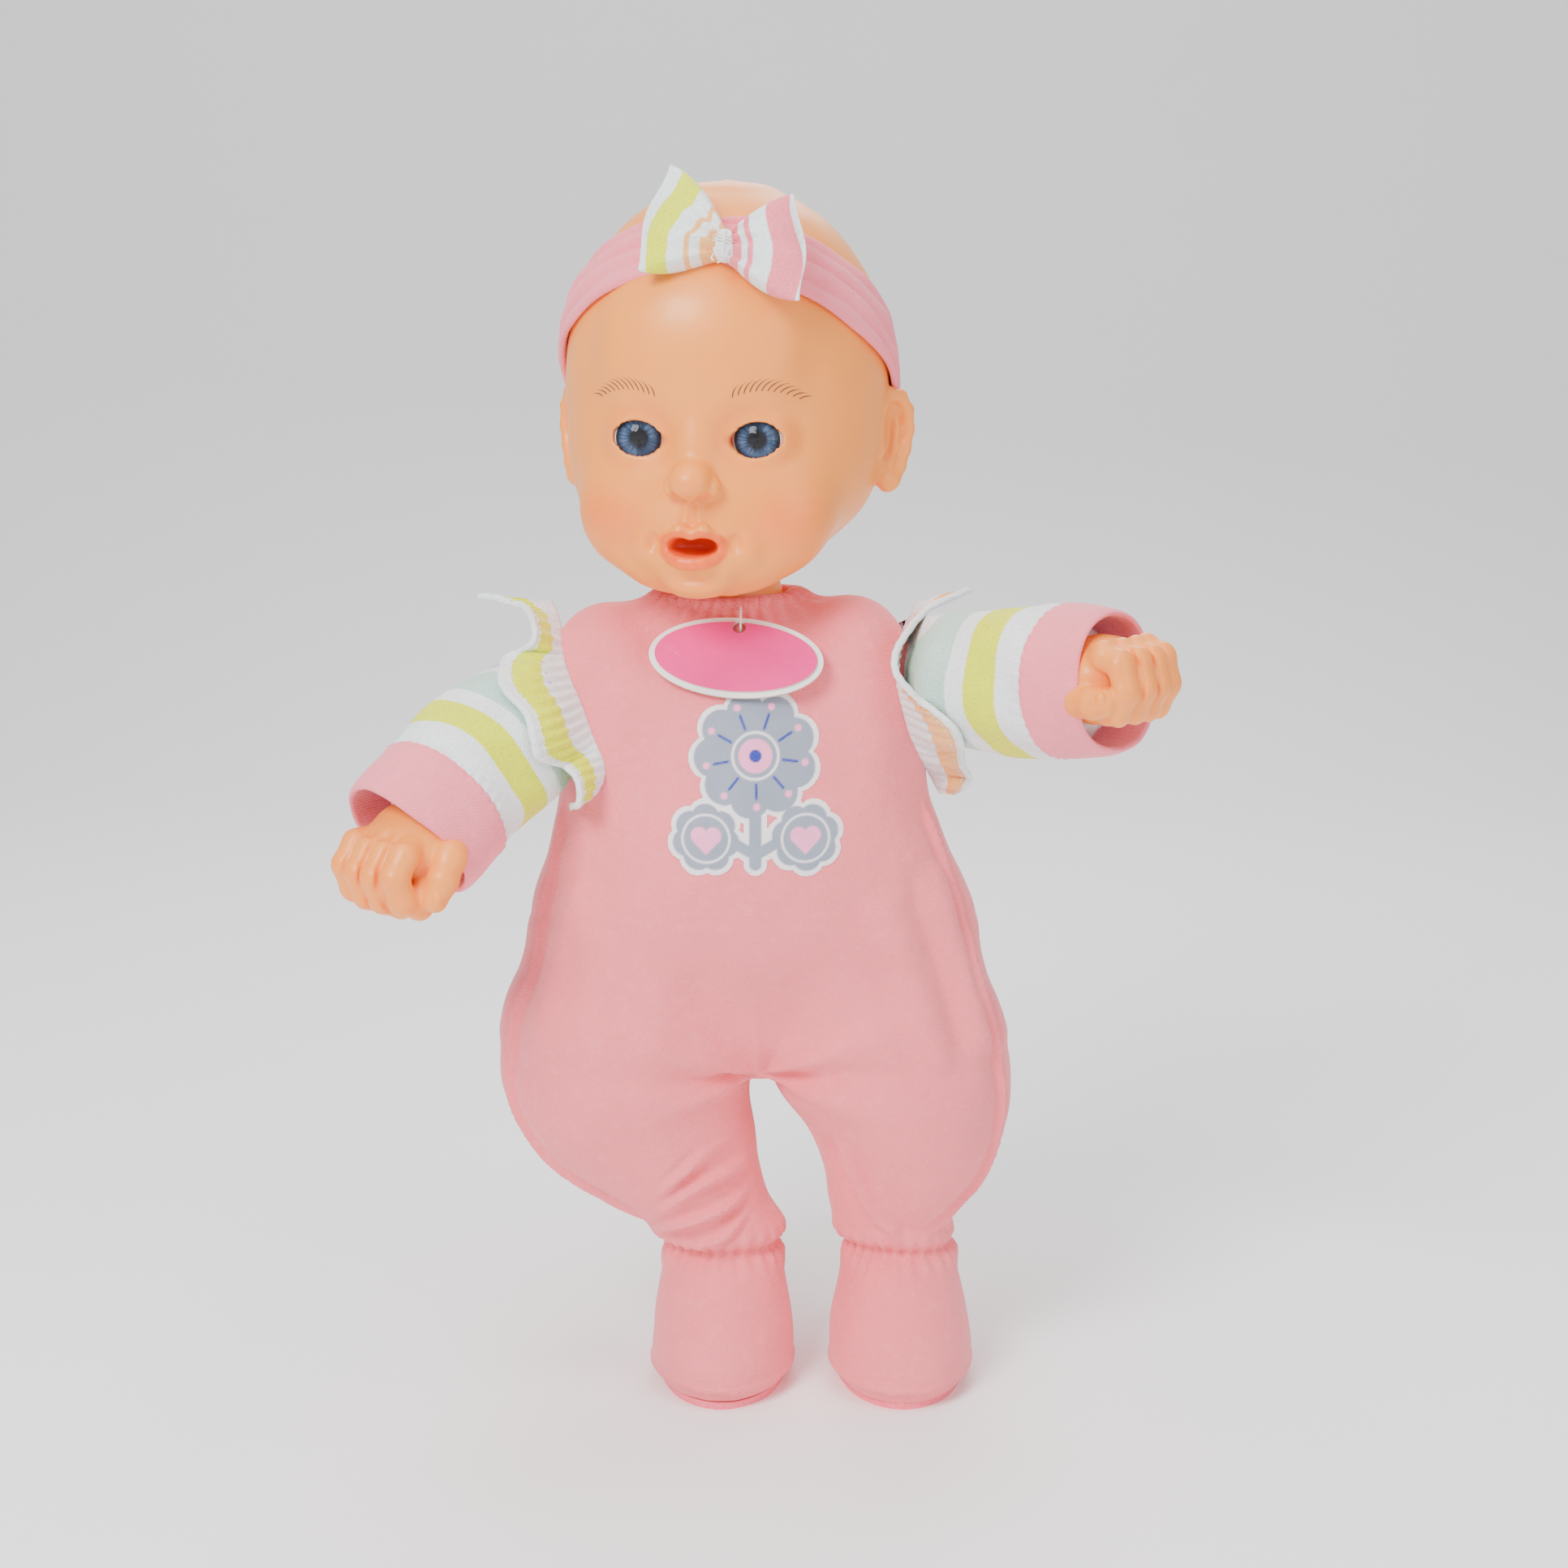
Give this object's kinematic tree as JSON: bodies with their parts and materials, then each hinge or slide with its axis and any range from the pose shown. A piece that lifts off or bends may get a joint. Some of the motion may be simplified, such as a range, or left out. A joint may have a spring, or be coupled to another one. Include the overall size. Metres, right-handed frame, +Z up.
{
  "type": "interactive baby doll",
  "caption": "Soft-bodied baby doll with vinyl head and fists, footed romper, striped sleeves, headband and a press-to-talk sound module.",
  "frame": {"origin": "on the floor under the middle of the doll's box, standing on its soles", "axes": "+Z up, the doll faces -Y, its left side is at +X"},
  "size_m": [0.2283, 0.1354, 0.3436],
  "materials": {
    "vinyl_skin": "satin",
    "eye_white": "gloss",
    "iris": "gloss",
    "cornea": "gloss",
    "pink_jersey": "matte",
    "romper_pink": "matte",
    "striped_jersey": "matte",
    "ruffle_cloth": "matte",
    "stuffing": "matte",
    "tie_plastic": "satin",
    "hook_tape": "matte",
    "module_case": "satin",
    "steel": "satin",
    "board": "satin",
    "chip": "matte",
    "speaker_paper": "matte",
    "brass": "satin",
    "button_plastic": "gloss",
    "tag_pink": "gloss",
    "tag_white": "satin"
  },
  "bodies": {
    "torso": {"torso_filling": "stuffing", "romper_front": "romper_pink", "romper_back": "romper_pink", "neck_tie": "tie_plastic", "neck_binding": "pink_jersey", "hook_strip": "hook_tape", "loop_strip": "hook_tape", "sound_case_front": "module_case", "sound_case_back": "module_case", "battery_door": "module_case", "battery_door_screw": "steel", "case_screws": "steel", "circuit_board": "board", "sound_chip": "chip", "tact_switch": "chip", "button_spring": "steel", "speaker_basket": "steel", "speaker_cone": "speaker_paper", "speaker_magnet": "steel", "button_cells": "steel", "battery_contacts": "brass", "tag_loop": "tie_plastic"},
    "press_button": {"press_button": "button_plastic"},
    "neck": {"neck_plug": "vinyl_skin"},
    "head": {"head_shell": "vinyl_skin", "eye_white_right": "eye_white", "eye_white_left": "eye_white", "iris_right": "iris", "iris_left": "iris", "cornea_right": "cornea", "cornea_left": "cornea", "headband": "pink_jersey", "bow_loops": "striped_jersey", "bow_wrap": "striped_jersey"},
    "hang_tag": {"tag_front_card": "tag_pink", "tag_back_card": "tag_white"},
    "shoulder_right": {"shoulder_filling_right": "stuffing"},
    "arm_right": {"arm_filling_right": "stuffing", "sleeve_right": "striped_jersey", "cuff_right": "romper_pink", "wrist_tie_right": "tie_plastic", "ruffle_right": "ruffle_cloth"},
    "hand_right": {"hand_right": "vinyl_skin"},
    "leg_right": {"leg_filling_right": "stuffing", "romper_leg_right": "romper_pink", "ankle_elastic_right": "romper_pink", "bootie_right": "romper_pink", "sole_right": "romper_pink"},
    "shoulder_left": {"shoulder_filling_left": "stuffing"},
    "arm_left": {"arm_filling_left": "stuffing", "sleeve_left": "striped_jersey", "cuff_left": "romper_pink", "wrist_tie_left": "tie_plastic", "ruffle_left": "ruffle_cloth"},
    "hand_left": {"hand_left": "vinyl_skin"},
    "leg_left": {"leg_filling_left": "stuffing", "romper_leg_left": "romper_pink", "ankle_elastic_left": "romper_pink", "bootie_left": "romper_pink", "sole_left": "romper_pink"}
  },
  "joints": [
    {"name": "neck_nod", "type": "hinge", "parent": "torso", "child": "neck", "pos_m": [-0.0068, 0.0129, 0.229], "axis": [1, 0, 0], "range_deg": [-20, 5]},
    {"name": "neck_turn", "type": "hinge", "parent": "neck", "child": "head", "pos_m": [-0.0068, 0.0129, 0.229], "axis": [0.0384, 0, 0.9993], "range_deg": [-53, 67]},
    {"name": "shoulder_swing_right", "type": "hinge", "parent": "torso", "child": "shoulder_right", "pos_m": [-0.0468, 0.0069, 0.211], "axis": [-1, 0, 0], "range_deg": [-35, 70]},
    {"name": "shoulder_raise_right", "type": "hinge", "parent": "shoulder_right", "child": "arm_right", "pos_m": [-0.0468, 0.0069, 0.211], "axis": [0, 1, 0], "range_deg": [-4, 78]},
    {"name": "wrist_twist_right", "type": "hinge", "parent": "arm_right", "child": "hand_right", "pos_m": [-0.07454, -0.0239, 0.18304], "axis": [-0.5547, -0.6161, -0.5592], "range_deg": [-60, 60]},
    {"name": "hip_swing_right", "type": "hinge", "parent": "torso", "child": "leg_right", "pos_m": [-0.0353, 0.0129, 0.098], "axis": [-1, 0, 0], "range_deg": [-24, 94]},
    {"name": "shoulder_swing_left", "type": "hinge", "parent": "torso", "child": "shoulder_left", "pos_m": [0.0332, 0.0069, 0.206], "axis": [-1, 0, 0], "range_deg": [-75, 28]},
    {"name": "shoulder_raise_left", "type": "hinge", "parent": "shoulder_left", "child": "arm_left", "pos_m": [0.0332, 0.0069, 0.206], "axis": [0, -1, 0], "range_deg": [-52, 26]},
    {"name": "wrist_twist_left", "type": "hinge", "parent": "arm_left", "child": "hand_left", "pos_m": [0.0706, -0.02607, 0.20984], "axis": [0.7479, -0.6594, 0.0767], "range_deg": [-60, 60]},
    {"name": "hip_swing_left", "type": "hinge", "parent": "torso", "child": "leg_left", "pos_m": [0.0407, 0.0129, 0.098], "axis": [-1, 0, 0], "range_deg": [-24, 94]},
    {"name": "button_press", "type": "slide", "parent": "torso", "child": "press_button", "axis": [0, 1, 0], "range_m": [0, 0.0025], "stiffness_N_per_m": 500, "springref_m": -0.0004},
    {"name": "tag_swing", "type": "hinge", "parent": "torso", "child": "hang_tag", "pos_m": [-0.0033, -0.013, 0.22292], "axis": [-1, 0, 0], "range_deg": [0, 36]}
  ]
}
